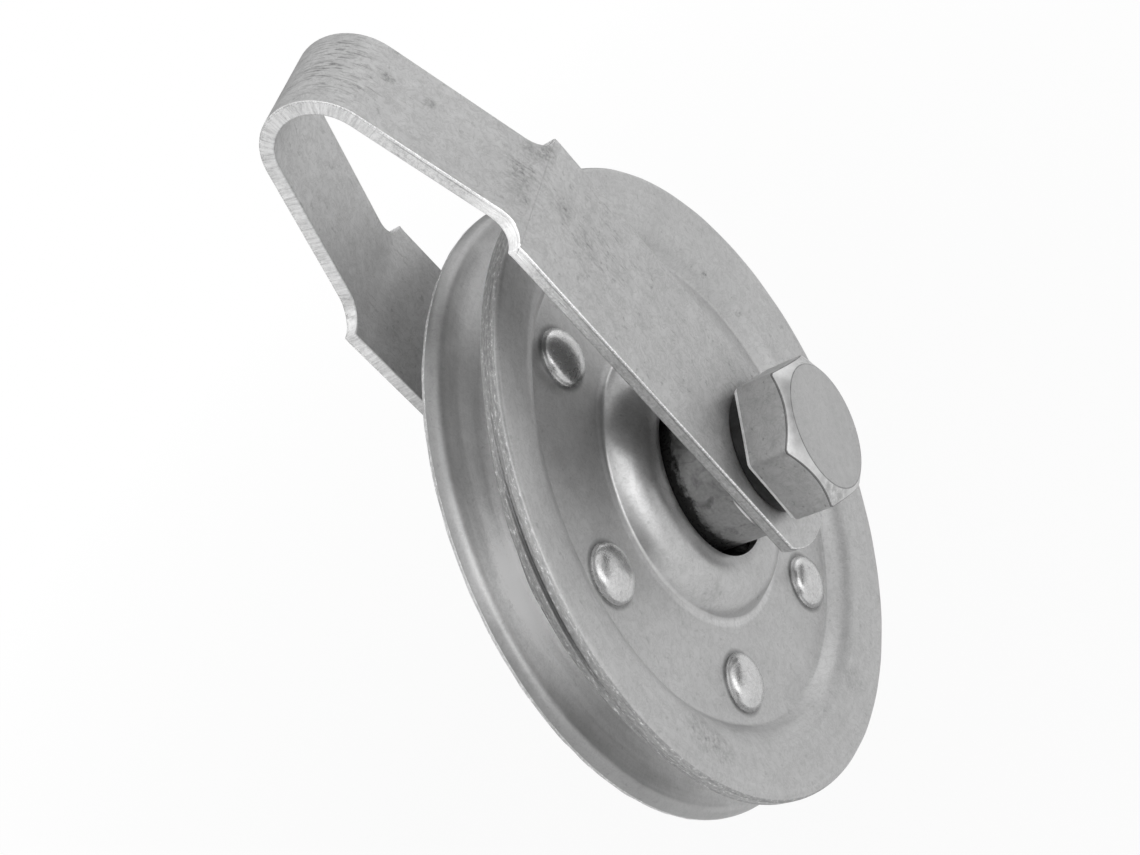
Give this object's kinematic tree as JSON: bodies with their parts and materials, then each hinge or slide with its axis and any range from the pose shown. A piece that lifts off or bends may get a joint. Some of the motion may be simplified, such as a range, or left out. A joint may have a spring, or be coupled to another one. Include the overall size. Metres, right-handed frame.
{
  "type": "garage door pulley",
  "caption": "Stamped steel cable pulley on a ball bearing, held between the ears of a looped strap by a hex bolt.",
  "frame": {"origin": "wheel centre, where the axle's axis crosses the mid-plane of the groove", "axes": "+Y along the axle from the bolt head to the nut, +Z from the axle to the strap's loop, +X across the strap"},
  "size_m": [0.0762, 0.0432, 0.1029],
  "materials": {
    "zinc_strap": "satin",
    "zinc_plate": "satin",
    "zinc_fastener": "satin",
    "dark_steel": "satin"
  },
  "bodies": {
    "fork": {"strap": "zinc_strap", "head_washer": "dark_steel", "axle_bolt": "zinc_fastener", "axle_nut": "zinc_fastener", "inner_race": "dark_steel"},
    "sheave": {"near_plate": "zinc_plate", "far_plate": "zinc_plate", "rivet_1": "zinc_fastener", "rivet_2": "zinc_fastener", "rivet_3": "zinc_fastener", "rivet_4": "zinc_fastener", "rivet_5": "zinc_fastener", "rivet_6": "zinc_fastener"},
    "ball_set": {"ball_1": "dark_steel", "ball_2": "dark_steel", "ball_3": "dark_steel", "ball_4": "dark_steel", "ball_5": "dark_steel", "ball_6": "dark_steel", "ball_7": "dark_steel", "ball_8": "dark_steel", "ball_9": "dark_steel", "ball_10": "dark_steel", "ball_11": "dark_steel"}
  },
  "joints": [
    {"name": "sheave_spin", "type": "hinge", "parent": "fork", "child": "sheave", "pos_m": [0, 0, 0], "axis": [0, 1, 0], "continuous": true},
    {"name": "ball_orbit", "type": "hinge", "parent": "fork", "child": "ball_set", "pos_m": [0, 0, 0], "axis": [0, 1, 0], "continuous": true}
  ],
  "couplings": [
    {"joint": "ball_orbit", "follows": "sheave_spin", "ratio": 0.6337}
  ]
}
